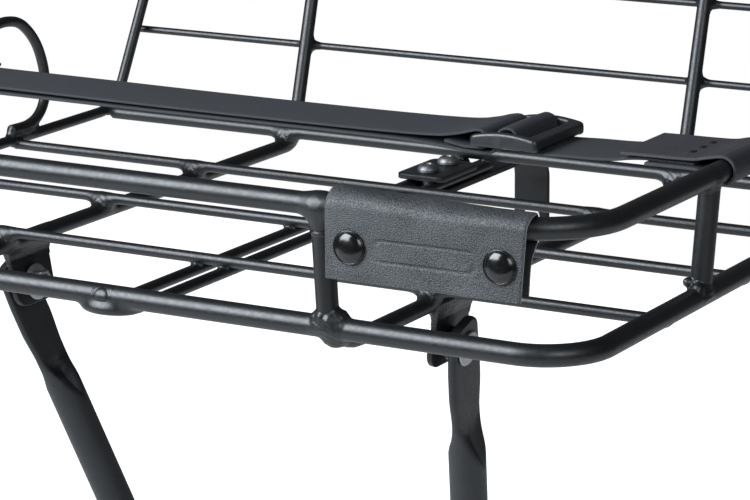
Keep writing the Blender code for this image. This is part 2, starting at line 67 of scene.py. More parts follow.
MM = 0.001
DECK_ZERO = np.array([0.0, -422.5, 57.0])   # the front base rail's middle, from the crown bolt
GAP = 0.3

# Sizes, as the CAD model has them
RAIL_R = 5.0
BASE_HALF, BASE_BEND = 236.0, 30.0
RAIL_HALF, RAIL_BEND, RAIL_Y, RAIL_Z = 240.0, 40.0, -5.0, 55.4
SWAGE_Y, SWAGE = 206.0, 12.0
SIDE_ROD_R = 3.0
DECK_ROD_R, DECK_ROD_Z, DECK_ROD_YS = 2.7, -2.3, (86.0, 171.0, 257.0)
REAR_RAIL_Y, REAR_RAIL_Z, REAR_RAIL_R = 352.0, -1.5, 3.5
CROSS_X, CROSS_R, CROSS_Z = 119.0, 4.0, -9.3
SPINE_X, SPINE_R, SPINE_Z = 7.4, 2.8, -8.1
FRONT_POST_X, SIDE_POST_Y = 116.0, 124.0
WALL_FOOT_Y, WALL_LEAN, WALL_HALF, WALL_NARROW, WALL_TOP_Z = 361.5, 0.29, 241.0, 0.16, 195.0
UPRIGHT_R, WALL_ROD_R, WALL_ROD_ZS = 3.4, 2.0, (43.0, 83.0, 123.0, 163.0)
HOOP_R = 2.9
STRUT_IN, STRUT_BACK, STRUT_DROP = 0.174, 0.390, 381.0
PIVOT, PLATE = (117.2, 105.0, -31.9), 3.0
BRACKET_TOP_Z, BRACKET_HALF, BRACKET_DROP, BRACKET_CORNER = -9.3, 17.0, 11.5, 8.5
SPACER, SPACER_R, STRUT_OFFSET = 4.4, 8.0, 8.75
STRUT_R, STRUT_FLAT, STRUT_FLAT_T = 9.0, 12.6, 2.25
BOLT_R, HOLE_R, AXLE_HOLE_R = 3.0, 3.4, 5.0
ARM_HALF, ARM_FRONT_Y, ARM_BEND, ARM_END_Z, ARM_Z, ARM_Y = 10.5, 292.0, 16.0, -74.0, -12.7, 421.0
SLOT_LOW, SLOT_HIGH, SLOT_R = -68.5, -45.5, 5.5
CLAMP_YS, CLAMP_HALF, CLAMP_Z = (300.0, 322.0), (14.0, 21.0), -3.5
LEATHER, LABEL_DROP = 1.8, 30.0
SNAP_XS, SNAP_Z = (134.0, 206.0), 40.2
NUT_FLATS, NUT_T, WASHER_T = 10.0, 5.0, 1.6
CLAMP_CORNER = 4.0
STRAP_Y, WEBBING, WEBBING_T, STRAP_Z = 160.0, 42.0, 1.4, 56.7
ANCHOR, ANCHOR_T = 48.0, 1.6
BUCKLE_X, BUCKLE_Z, BUCKLE_T = 130.5, 57.5, 6.0
SIDES = ((-1, "left"), (1, "right"))

# What only the visible model has
SOFTENED = 0.5                  # the small rounds on tube ends and on the arm's edges
NOSE_Y, NOSE_Z, NOSE_HALF, NOSE_DEEP = 4.0, -5.4, 15.8, 10.6
BOLT_FLANGE = 8.4
DIMPLE = 50.0, 2.6              # where a strut's scoop is deepest, along and across it
LABEL_FRAME = 169.8, 14.6, 23.5, 4.6        # the pressed frame's centre and half size
STITCH_ROWS, STITCH_HALF, STITCH_R = (-11.0, 0.0, 11.0), 2.9, 0.45
WELD_STEP, BUCKLE_STEP = ((0.6, 0.42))

ROUTES = {}                     # each tube's centre line and radii, for the welds


# -------------------------------- materials

class Look:
    """A Principled material with a short way to add nodes."""

    def __init__(self, name, color, roughness, metallic=0.0, **sockets):
        self.material = bpy.data.materials.new(name)
        self.material.use_nodes = True
        self.tree = self.material.node_tree
        self.shader = self.tree.nodes["Principled BSDF"]
        self.set("Base Color", (*color, 1.0))
        self.set("Roughness", roughness)
        self.set("Metallic", metallic)
        for key, value in sockets.items():
            self.set(key.replace("_", " "), value)
        self.coord = self.add("ShaderNodeTexCoord").outputs["Object"]

    def set(self, socket, value):
        self.shader.inputs[socket].default_value = value

    def link(self, output, socket):
        self.tree.links.new(output, self.shader.inputs[socket])

    def add(self, kind, settings=None, **inputs):
        node = self.tree.nodes.new(kind)
        for key, value in (settings or {}).items():
            setattr(node, key, value)
        for key, value in inputs.items():
            socket = node.inputs[int(key[1:]) if key[0] == "i" and key[1:].isdigit()
                                 else key.replace("_", " ")]
            if isinstance(value, bpy.types.NodeSocket):
                self.tree.links.new(value, socket)
            else:
                socket.default_value = value
        return node

    def noise(self, scale, detail=2.0, roughness=0.5, vector=None):
        node = self.add("ShaderNodeTexNoise", Vector=vector or self.coord, Scale=scale,
                        Detail=detail, Roughness=roughness)
        return node.outputs["Fac"]

    def cells(self, scale):
        node = self.add("ShaderNodeTexVoronoi", Vector=self.coord, Scale=scale)
        return node.outputs["Distance"]

    def ramp(self, value, low, high, to_low, to_high):
        node = self.add("ShaderNodeMapRange", {"interpolation_type": "SMOOTHSTEP"},
                        Value=value, From_Min=low, From_Max=high, To_Min=to_low,
                        To_Max=to_high)
        return node.outputs["Result"]

    def math(self, operation, a, b=0.0):
        return self.add("ShaderNodeMath", {"operation": operation}, i0=a, i1=b).outputs[0]

    def tint(self, factor, dark, light):
        node = self.add("ShaderNodeMix", {"data_type": "RGBA"}, i0=factor, i6=(*dark, 1.0),
                        i7=(*light, 1.0))
        self.link(node.outputs[2], "Base Color")

    def bump(self, height, strength, distance, normal=None):
        below = {"Normal": normal} if normal else {}
        return self.add("ShaderNodeBump", Height=height, Strength=strength, Distance=distance,
                        **below).outputs["Normal"]

    def gloss(self, value, low, high):
        self.link(self.ramp(value, 0.3, 0.7, low, high), "Roughness")

    def relief(self, *bump):
        self.link(self.bump(*bump), "Normal")


def powder_coat(name, dark, light, roughness, shine=0.5):
    """Powder coat: a fine orange peel, and a faint unevenness in colour and gloss."""
    look = Look(name, dark, roughness, Specular_IOR_Level=shine)
    cloud = look.noise(35.0, 3.0)
    look.tint(look.ramp(cloud, 0.35, 0.7, 0.0, 1.0), dark, light)
    look.gloss(look.noise(420.0, 3.0), roughness - 0.035, roughness + 0.045)
    peel = look.bump(look.noise(700.0, 2.0), 0.10, 0.0004)
    look.relief(look.noise(2600.0, 1.0), 0.12, 0.0001, peel)
    return look.material


def zinc(name, dark, light):
    """Zinc plating with cloudy patches."""
    look = Look(name, light, 0.5, 0.9)
    patch = look.noise(260.0, 4.0)
    look.tint(patch, dark, light)
    look.gloss(patch, 0.42, 0.58)
    look.relief(look.noise(1500.0, 2.0), 0.18, 0.0001)
    return look.material


def leather(name, dark, light, roughness, grain, depth):
    """Leather whose grain is small rounded cells over slow creases."""
    look = Look(name, dark, roughness)
    cell = look.ramp(look.cells(grain), 0.1, 0.75, 1.0, 0.0)
    speck = look.noise(grain * 0.9, 4.0, 0.65)
    slow = look.noise(60.0, 3.0)
    mixed = look.math("ADD", look.math("MULTIPLY", speck, 0.75),
                      look.math("MULTIPLY", slow, 0.25))
    look.tint(look.ramp(mixed, 0.36, 0.64, 0.0, 1.0), dark, light)
    look.gloss(speck, roughness - 0.08, roughness + 0.08)
    fine = look.bump(look.math("ADD", cell, speck), depth, 0.0002)
    look.relief(slow, 0.15, 0.0008, fine)
    return look.material


def webbing():
    """Plain woven webbing: ribs across the strap with the warp passing over and under."""
    look = Look("webbing", (0.02, 0.02, 0.02), 0.8, Specular_IOR_Level=0.2)
    uv = look.add("ShaderNodeUVMap").outputs["UV"]
    parts = look.add("ShaderNodeSeparateXYZ", Vector=uv)
    pitch = math.tau / 0.0016
    along = look.math("SINE", look.math("MULTIPLY", parts.outputs["X"], pitch))
    across = look.math("SINE", look.math("MULTIPLY", parts.outputs["Y"], pitch * 1.3))
    weave = look.math("MULTIPLY", along, across)
    height = look.ramp(weave, -0.8, 0.8, 0.0, 1.0)
    fuzz = look.noise(2400.0, 3.0, vector=uv)
    # The tint is lighter on the weave's high points and darker in its hollows. This is painted
    # shade in the weave, laid over random fuzz.
    weave_shade_and_fuzz = look.math("ADD", look.math("MULTIPLY", height, 0.55),
                     look.math("MULTIPLY", fuzz, 0.6))
    look.tint(look.ramp(weave_shade_and_fuzz, 0.25, 0.95, 0.0, 1.0), (0.012, 0.012, 0.0135),
              (0.074, 0.076, 0.084))
    look.relief(look.math("ADD", height, fuzz), 0.8, 0.0003)
    return look.material


def plastic(name, color, roughness, texture):
    look = Look(name, color, roughness)
    look.gloss(look.noise(300.0, 2.0), roughness - 0.05, roughness + 0.05)
    look.relief(look.noise(1900.0, 2.0), texture, 0.0001)
    return look.material


def thread():
    look = Look("thread", (0.01, 0.01, 0.011), 0.6)
    look.relief(look.noise(3000.0, 2.0), 0.5, 0.0002)
    return look.material


BLACK_COAT = (0.0045, 0.0048, 0.0054), (0.0065, 0.0069, 0.0076)
LOOKS = {
    "coat": powder_coat("coat", *BLACK_COAT, 0.40),
    "strut": powder_coat("strut_coat", (0.0128, 0.0140, 0.0160), (0.0175, 0.0190, 0.0215),
                         0.46, 0.35),
    "plate": powder_coat("plate_coat", *BLACK_COAT, 0.42, 0.35),
    "zinc": zinc("zinc", (0.34, 0.335, 0.33), (0.52, 0.51, 0.50)),
    "dull_zinc": zinc("dull_zinc", (0.12, 0.12, 0.12), (0.24, 0.24, 0.24)),
    "label": leather("label", (0.008, 0.009, 0.010), (0.053, 0.056, 0.060), 0.52, 1600.0, 0.7),
    "label_edge": leather("label_edge", (0.16, 0.165, 0.17), (0.28, 0.285, 0.29), 0.8, 1500.0,
                          0.5),
    # The label's inner face is near black: painted shade where the fold keeps the light off it.
    "label_back_painted_shade": leather("label_back_painted_shade", (0.004, 0.004, 0.0045), (0.010, 0.010, 0.011), 0.85,
                          1500.0, 0.2),
    "anchor": leather("anchor", (0.020, 0.0182, 0.0225), (0.035, 0.032, 0.039), 0.66, 1700.0,
                      0.3),
    "webbing": webbing(),
    "plastic": plastic("buckle_plastic", (0.014, 0.0145, 0.016), 0.40, 0.10),
    "snap": plastic("snap_black", (0.003, 0.003, 0.0032), 0.20, 0.02),
    "thread": thread(),
}


# -------------------------------- meshes

def world(points):
    return (np.asarray(points, float) + DECK_ZERO) * MM


def add(name, data):
    obj = bpy.data.objects.new(name, data)
    bpy.context.scene.collection.objects.link(obj)
    return obj


def mesh_of(name, points, faces):
    mesh = bpy.data.meshes.new(name)
    mesh.from_pydata(world(points).tolist(), [], [tuple(map(int, f)) for f in faces])
    return mesh


def baked(obj):
    """The mesh an object has after its modifiers."""
    return bpy.data.meshes.new_from_object(
        obj.evaluated_get(bpy.context.evaluated_depsgraph_get()))


def piece(name, points, faces, look, body, nodes=(), uv=None, angle=40.0, more=()):
    """A visible piece from deck points and faces; more is (faces from here on, their look)."""
    mesh = mesh_of(name, points, faces)
    mesh.shade_smooth()
    mesh.set_sharp_from_angle(angle=math.radians(angle))
    mesh.materials.append(LOOKS[look])
    for index, (first, other) in enumerate(more, start=1):
        mesh.materials.append(LOOKS[other])
        for polygon in mesh.polygons[first:]:
            polygon.material_index = index
    if uv is not None:
        layer = mesh.uv_layers.new(name="UVMap")
        corners = np.empty(len(mesh.loops), int)
        mesh.loops.foreach_get("vertex_index", corners)
        layer.data.foreach_set("uv", np.asarray(uv, np.float32)[corners].ravel())
    obj = add(name, mesh)
    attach(obj, body)
    if nodes:
        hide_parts(*nodes)
    return obj


def unit(v):
    v = np.asarray(v, float)
    return v / np.linalg.norm(v, axis=-1, keepdims=True)


def rounded_route(corners, radii, steps=20):
    """A polyline through 3-D corners with an arc of the given radius at each inner corner."""
    route = [Vector(corners[0])]
    for before, corner, after, radius in zip(corners, corners[1:], corners[2:], radii):
        corner = Vector(corner)
        back = (Vector(before) - corner).normalized()
        ahead = (Vector(after) - corner).normalized()
        half = back.angle(ahead) / 2
        centre = corner + (back + ahead).normalized() * (radius / math.sin(half))
        first = back * (radius / math.tan(half)) + corner - centre
        turn = back.cross(first).normalized()
        for step in range(steps + 1):
            angle = (math.pi - 2 * half) * step / steps
            route.append(centre + Matrix.Rotation(angle, 3, turn) @ first)
    route.append(Vector(corners[-1]))
    return [tuple(p) for p in route]


def smooth_route(points, steps=8):
    """A Catmull-Rom curve through points of any dimension."""
    points = np.asarray(points, float)
    ends = np.vstack([2 * points[0] - points[1], points, 2 * points[-1] - points[-2]])
    t = np.linspace(0, 1, steps, endpoint=False)[:, None]
    route = []
    for a, b, c, d in zip(ends, ends[1:], ends[2:], ends[3:]):
        route.append(0.5 * (2 * b + (c - a) * t + (2 * a - 5 * b + 4 * c - d) * t ** 2
                            + (3 * b - a - 3 * c + d) * t ** 3))
    return np.vstack([*route, points[-1:]])


def arc(x, y, radius, start_deg, end_deg, steps=24):
    angles = np.radians(np.linspace(start_deg, end_deg, steps + 1))
    return [(x + radius * math.cos(a), y + radius * math.sin(a)) for a in angles]


def hole(x=0, y=0):
    return arc(x, y, HOLE_R, 0, 350, 35)


def circle(count):
    return np.linspace(0, math.tau, count, endpoint=False)


def plane_normals(path):
    along = unit(np.gradient(path, axis=0))
    return np.stack([-along[:, 1], along[:, 0]], 1)


def skin(rings):
    """Vertices and faces of a closed skin over rings of equal point count."""
    rings = np.asarray(rings)
    n, m = rings.shape[:2]
    grid = np.arange(n * m).reshape(n, m)
    a, b = grid[:-1], grid[1:]
    quads = np.stack([a, np.roll(a, -1, 1), np.roll(b, -1, 1), b], -1).reshape(-1, 4)
    return rings.reshape(-1, 3), [*map(tuple, quads), tuple(grid[0][::-1]), tuple(grid[-1])]


def tube(node, route, radius, radii=None, sides=32):
    """A round tube of the frame that replaces a CAD node, with small rounds on its ends."""
    points = np.asarray(route, float)
    r = np.full(len(points), float(radius)) if radii is None else np.asarray(radii, float)
    ROUTES[node] = (points, r)
    tangents = unit(np.gradient(points, axis=0))
    side = unit(np.cross(tangents[0], (0, 0, 1) if abs(tangents[0][2]) < 0.9 else (1, 0, 0)))
    angles = circle(sides)
    rings = []
    last = len(points) - 1
    for i, (p, t) in enumerate(zip(points, tangents)):
        side = unit(side - t * np.dot(side, t))
        other = np.cross(t, side)
        ring = np.cos(angles)[:, None] * side + np.sin(angles)[:, None] * other
        if i == 0:
            rings.append(p + ring * (r[0] - SOFTENED))
            p = p + t * SOFTENED
        if i == last:
            rings.append(p - t * SOFTENED + ring * r[i])
            rings.append(p + ring * (r[i] - SOFTENED))
        else:
            rings.append(p + ring * r[i])
    points, faces = skin(rings)
    piece(node + "_look", points, faces, "coat", "carrier", [node])


def place(point, x_axis, y_axis):
    """A placement in deck millimetres whose local X and Y lie along two directions."""
    x_axis = Vector(x_axis).normalized()
    z_axis = x_axis.cross(Vector(y_axis)).normalized()
    turn = Matrix((x_axis, z_axis.cross(x_axis), z_axis)).transposed().to_4x4()
    return Matrix.Translation(Vector(point)) @ turn


def facing(direction, axis="Z"):
    """A turn that points a local axis along a direction."""
    return Vector(direction).to_track_quat(axis, "Y").to_matrix().to_4x4()


def slab(node, outline, thickness, where, look, body="carrier", holes=(), bevel=0.5):
    """A plate with softened edges, cut to an outline with holes."""
    curve = bpy.data.curves.new(node, "CURVE")
    curve.dimensions = "2D"
    curve.fill_mode = "BOTH"
    curve.extrude = thickness / 2 - bevel
    curve.bevel_depth = bevel
    curve.bevel_resolution = 2
    curve.offset = -bevel
    for loop in (outline, *holes):
        spline = curve.splines.new("POLY")
        spline.points.add(len(loop) - 1)
        for point, (x, y) in zip(spline.points, loop):
            point.co = (x, y, 0.0, 1.0)
        spline.use_cyclic_u = True
    temporary = add(node, curve)
    mesh = baked(temporary)
    points = [where @ v.co for v in mesh.vertices]
    faces = [tuple(p.vertices) for p in mesh.polygons]
    bpy.data.objects.remove(temporary, do_unlink=True)
    bpy.data.meshes.remove(mesh)
    obj = piece(node + "_look", points, faces, look, body, [node], angle=18.0)
    obj.modifiers.new("merge", "WELD").merge_threshold = 0.00001


def lathe(node, profile, where, look, body="carrier", steps=56, angle=35.0):
    """A solid of revolution about local Z from (radius, height) points; ends lie on the axis."""
    rows = [(r, h) for r, h in profile if r > 0]
    angles = circle(steps)
    rings = [[(r * math.cos(a), r * math.sin(a), h) for a in angles] for r, h in rows]
    points, faces = skin(rings)
    points = np.vstack([points, [[0, 0, profile[0][1]], [0, 0, profile[-1][1]]]])
    top, bottom = len(points) - 2, len(points) - 1
    faces = faces[:-2]
    last = (len(rows) - 1) * steps
    for i in range(steps):
        j = (i + 1) % steps
        faces += [(top, j, i), (bottom, last + i, last + j)]
    points = [where @ Vector(p) for p in points]
    return piece(node + "_look", points, faces, look, body, [node], angle=angle)


def strip(node, path, thickness, across, put, look, body, swell=None, others=()):
    """A sheet of even thickness that follows a plane path; across gives its two edges at a
    share of the path, put places (a, b, w), swell lifts its outer face, and others are the
    looks of its inner face and its cut edges."""
    path = np.asarray(path, float)
    steps = np.linalg.norm(np.diff(path, axis=0), axis=1)
    length = np.concatenate([[0], np.cumsum(steps)])
    normal = plane_normals(path)
    share = np.concatenate([[0, 0.006, 0.014], np.linspace(0.03, 0.97, 64), [0.986, 0.994, 1]])
    thin = np.ones(len(share))
    thin[[0, 1, -2, -1]] = 0.45, 0.85, 0.85, 0.45
    low, high = zip(*[across(s / length[-1]) for s in length])
    low, high = np.array(low)[:, None], np.array(high)[:, None]
    w = low + (high - low) * share
    half = thickness / 2 * thin + 0 * w
    reach = length[:, None] + 0 * w
    lift = swell(reach, w) if swell else 0.0
    outer, inner = [
        put(*np.moveaxis(path[:, None] + normal[:, None] * out[..., None], -1, 0), w)
        .reshape(-1, 3) for out in (half + lift, -half)]
    grid = np.arange(w.size).reshape(w.shape)
    under = grid + w.size

    def cells(g):
        return np.stack([g[:-1, :-1], g[:-1, 1:], g[1:, 1:], g[1:, :-1]], -1).reshape(-1, 4)

    def wall(a, b):
        return np.stack([a[:-1], b[:-1], b[1:], a[1:]], -1)

    faces = [cells(grid), cells(under)[:, ::-1]]
    rim = [wall(grid[:, 0], under[:, 0]), wall(grid[:, -1], under[:, -1])[:, ::-1],
           wall(grid[0], under[0])[:, ::-1], wall(grid[-1], under[-1])]
    starts = [len(faces[0]), len(faces[0]) + len(faces[1])]
    faces = np.vstack(faces + rim)
    uv = np.stack([reach, w], -1).reshape(-1, 2) * MM
    obj = piece(node + "_look", np.vstack([outer, inner]), faces, look, body, [node],
                uv=np.vstack([uv, uv]), more=list(zip(starts, others)))
    fix_normals(obj.data)
    area = float(((high - low)[:-1, 0] * steps).sum())
    return obj, length[-1], float((high - low).max()), area


def fix_normals(mesh):
    work = bmesh.new()
    work.from_mesh(mesh)
    bmesh.ops.recalc_face_normals(work, faces=work.faces)
    work.to_mesh(mesh)
    work.free()


# -------------------------------- welds and moulded pieces

def soft_min(a, b, k):
    """The smaller of two distances, rounded over k; also how strongly they blend."""
    h = np.maximum(k - np.abs(a - b), 0.0) / k
    return np.minimum(a, b) - h * h * k / 4, h


def soft_max(a, b, k):
    return -soft_min(-a, -b, k)[0]


def tube_distance(p, node, centre, reach):
    """Distance to the stretch of a tube near a joint, flat at the tube's own ends."""
    points, radii = ROUTES[node]
    best = np.full(len(p), 1e6)
    last = len(points) - 2
    for i in range(last + 1):
        a, b = points[i], points[i + 1]
        ab = b - a
        size = np.linalg.norm(ab)
        t = np.clip(np.dot(centre - a, ab) / size ** 2, 0, 1)
        if np.linalg.norm(a + t * ab - centre) > reach + radii[i]:
            continue
        t = (p - a) @ ab / size ** 2
        clipped = np.clip(t, 0, 1)
        d = np.linalg.norm(p - a - clipped[:, None] * ab, axis=1)
        d -= radii[i] + (radii[i + 1] - radii[i]) * clipped
        if i == 0 or i == last:
            past = (-t if i == 0 else t - 1) * size
            line = np.linalg.norm(p - a - t[:, None] * ab, axis=1) - radii[i if i == 0 else -1]
            d = np.where(past > 0, np.maximum(line, past), d)
        best = np.minimum(best, d)
    return best


def box_distance(p, centre, axes, half):
    q = np.abs((p - np.asarray(centre)) @ np.asarray(axes).T) - np.asarray(half)
    return np.linalg.norm(np.maximum(q, 0), axis=1) + np.minimum(q.max(axis=1), 0)


def net(field, low, high, step):
    """The closed surface where field is zero, as a surface net pulled onto the field."""
    low, high = np.asarray(low, float), np.asarray(high, float)
    count = np.ceil((high - low) / step).astype(int) + 1
    axes = [low[i] + step * np.arange(count[i]) for i in range(3)]
    points = np.stack(np.meshgrid(*axes, indexing="ij"), -1)
    values = field(points.reshape(-1, 3)).reshape(count)
    inside = values < 0
    cells = count - 1

    def corner(array, offset):
        return array[tuple(slice(o, o + c) for o, c in zip(offset, cells))]

    offsets = [(i, j, k) for i in (0, 1) for j in (0, 1) for k in (0, 1)]
    filled = sum(corner(inside, o).astype(int) for o in offsets)
    active = (filled > 0) & (filled < 8)
    total = np.zeros((*cells, 3))
    crossings = np.zeros(tuple(cells))
    for axis in range(3):
        for start in [o for o in offsets if o[axis] == 0]:
            end = tuple(1 if i == axis else o for i, o in enumerate(start))
            a, b = corner(values, start), corner(values, end)
            cross = (a < 0) != (b < 0)
            t = np.where(cross, a / np.where(cross, a - b, 1.0), 0.0)
            spot = np.stack([t if i == axis else np.full_like(t, start[i])
                             for i in range(3)], -1)
            total += np.where(cross[..., None], spot, 0.0)
            crossings += cross
    where = np.argwhere(active)
    vertices = low + step * (where + total[active] / crossings[active][:, None])
    index = np.full(tuple(cells), -1)
    index[active] = np.arange(len(where))
    faces = []
    for axis in range(3):
        u, v = [i for i in range(3) if i != axis]
        a, b = [inside[tuple(part if i == axis else slice(1, -1) for i in range(3))]
                for part in (slice(0, -1), slice(1, None))]
        for edge in np.argwhere(a != b):
            quad = []
            for turn in ((0, 0), (1, 0), (1, 1), (0, 1)):
                cell = edge.copy()
                cell[[u, v]] += turn
                quad.append(index[tuple(cell)])
            if a[tuple(edge)] == (axis == 1):
                quad.reverse()
            faces.append(quad)
    h = step * 0.05
    for _ in range(2):
        value = field(vertices)
        slope = np.stack([(field(vertices + h * np.eye(3)[i]) - field(vertices - h * np.eye(3)[i]))
                          / (2 * h) for i in range(3)], -1)
        move = value[:, None] * slope / np.maximum((slope ** 2).sum(1), 0.2)[:, None]
        vertices -= np.clip(move, -step / 2, step / 2)
    return vertices, faces


WELDS = {"points": [], "faces": [], "count": 0}
SUNK = 0.035                    # how far a weld's hidden part lies inside its tubes


def weld(centre, nodes, k, reach, extras=(), ripple=0.11, step=None):
    """A fillet between tubes, as a closed lump that shows only where it bridges them."""
    centre = np.asarray(centre, float)

    def field(p):
        d, rough = tube_distance(p, nodes[0], centre, reach), 0.0
        for node in nodes[1:]:
            d, h = soft_min(d, tube_distance(p, node, centre, reach), k)
            rough = np.maximum(rough, h)
        for shape, soft in extras:
            d, h = soft_min(d, shape(p), soft)
            rough = np.maximum(rough, h)
        wave = (np.sin(1.7 * p[:, 0] + 0.9 * p[:, 1]) * np.sin(1.5 * p[:, 1] + 0.8 * p[:, 2])
                + np.sin(2.3 * p[:, 2] + 1.1 * p[:, 0]) * 0.6)
        d = d + SUNK - ripple * rough * wave
        return np.maximum(d, np.linalg.norm(p - centre, axis=1) - reach)

    step = step or WELD_STEP
    span = reach + 2 * step
    points, faces = net(field, centre - span, centre + span, step)
    WELDS["points"].append(points)
    WELDS["faces"] += [[i + WELDS["count"] for i in f] for f in faces]
    WELDS["count"] += len(points)


def ball(centre, radius):
    return lambda p: np.linalg.norm(p - np.asarray(centre), axis=1) - radius


def ring_bead(centre, axis, major, minor):
    axis = unit(axis)

    def distance(p):
        q = p - np.asarray(centre)
        high = q @ axis
        flat = np.linalg.norm(q - high[:, None] * axis, axis=1) - major
        return np.hypot(flat, high) - minor
    return distance


# -------------------------------- frame tubes

def side_tube(node, half, front_y, z, bend):
    """A U of tube whose ends narrow to the rod that follows."""
    corners = [(-half, SWAGE_Y - SWAGE, z), (-half, front_y, z), (half, front_y, z),
               (half, SWAGE_Y - SWAGE, z)]
    middle = rounded_route(corners, [bend, bend], 28)
    share = np.linspace(1, 0, 9)[:-1]
    left = [(-half, SWAGE_Y - SWAGE + SWAGE * s, z) for s in share]
    right = [(half, y, z) for _, y, _ in left[::-1]]
    narrow = [SIDE_ROD_R + (RAIL_R - SIDE_ROD_R) * (1 - s * s * (3 - 2 * s)) for s in share]
    tube(node, [*left, *middle, *right], RAIL_R,
         radii=[*narrow, *[RAIL_R] * len(middle), *narrow[::-1]])


def wall_point(x, z):
    return (x, WALL_FOOT_Y + WALL_LEAN * z, z)


def pivot(side):
    return np.array([side * PIVOT[0], *PIVOT[1:]])


def cross_rod(node, half, y, z, radius, sides):
    tube(node, [(-half, y, z), (half, y, z)], radius, sides=sides)


side_tube("base_ring", BASE_HALF, 0.0, 0.0, BASE_BEND)
side_tube("top_rail", RAIL_HALF, RAIL_Y, RAIL_Z, RAIL_BEND)
for side, word in SIDES:
    tube("front_post_" + word, [(side * FRONT_POST_X, 0, 1.5),
                                (side * FRONT_POST_X, RAIL_Y, RAIL_Z - 1.5)], RAIL_R)
    tube("side_post_" + word, [(side * BASE_HALF, SIDE_POST_Y, 1.5),
                               (side * RAIL_HALF, SIDE_POST_Y, RAIL_Z - 1.5)], RAIL_R)
    tube("spine_rod_" + word, [(side * SPINE_X, 13.5, SPINE_Z),
                               (side * SPINE_X, REAR_RAIL_Y + 3.0, SPINE_Z)], SPINE_R, sides=24)
    x = side * CROSS_X
    top = WALL_TOP_Z - SIDE_ROD_R - UPRIGHT_R + 4.0
    route = rounded_route([(x, 24.0, CROSS_Z), wall_point(x, CROSS_Z), wall_point(x, top)],
                          [12.0])
    blend = [min(max((p[2] - CROSS_Z) / 24.0, 0.0), 1.0) for p in route]
    taper = [(2.0, 3.6, 1.6), (4.0, 3.2, 2.2), (7.0, 2.4, 2.9), (11.0, 1.3, 3.5),
             (16.0, 0.4, 3.9)]              # y, rise, radius
    tube("cross_tube_" + word, [(x, y, CROSS_Z + z) for y, z, _ in taper] + route, CROSS_R,
         radii=[r for _, _, r in taper] + [CROSS_R + (UPRIGHT_R - CROSS_R) * b for b in blend])
    high, low, seat = side * RAIL_HALF, side * (BASE_HALF + 0.5), SIDE_ROD_R + HOOP_R
    hoop = [(high, SWAGE_Y - 0.3, RAIL_Z), (high, 212.0, RAIL_Z + 0.2), (high, 224.0, 58.4),
            (high, 240.0, 63.5), (high, 256.0, 65.5), (high, 271.0, 62.0), (high, 284.0, 50.0),
            (high, 291.0, 34.0), (high - side, 290.0, 19.0), (low + side, 282.0, 10.0),
            (low, 270.0, seat + 0.2), (low, 254.0, seat)]
    tube("side_hoop_" + word, smooth_route(hoop, 10), HOOP_R, sides=28)
for number, y in enumerate(DECK_ROD_YS, start=1):
    cross_rod("deck_rod_%d" % number, BASE_HALF - 1, y, DECK_ROD_Z, DECK_ROD_R, 24)
cross_rod("rear_rail", BASE_HALF - 1, REAR_RAIL_Y, REAR_RAIL_Z, REAR_RAIL_R, 28)
top_half = WALL_HALF - WALL_NARROW * WALL_TOP_Z
foot = WALL_FOOT_Y - 4.0
tube("wall_frame", rounded_route(
    [(-BASE_HALF, SWAGE_Y - 0.2, 0.0), (-BASE_HALF - 2.0, foot, 0.0),
     wall_point(-top_half, WALL_TOP_Z), wall_point(top_half, WALL_TOP_Z),
     (BASE_HALF + 2.0, foot, 0.0), (BASE_HALF, SWAGE_Y - 0.2, 0.0)], [22.0, 30.0, 30.0, 22.0]),
     SIDE_ROD_R, sides=28)
for number, z in enumerate(WALL_ROD_ZS, start=1):
    half = WALL_HALF - WALL_NARROW * z + SIDE_ROD_R / 2
    y = wall_point(0, z)[1] + UPRIGHT_R + WALL_ROD_R + GAP + 0.3
    cross_rod("wall_rod_%d" % number, half, y, z, WALL_ROD_R, 20)


# -------------------------------- welds

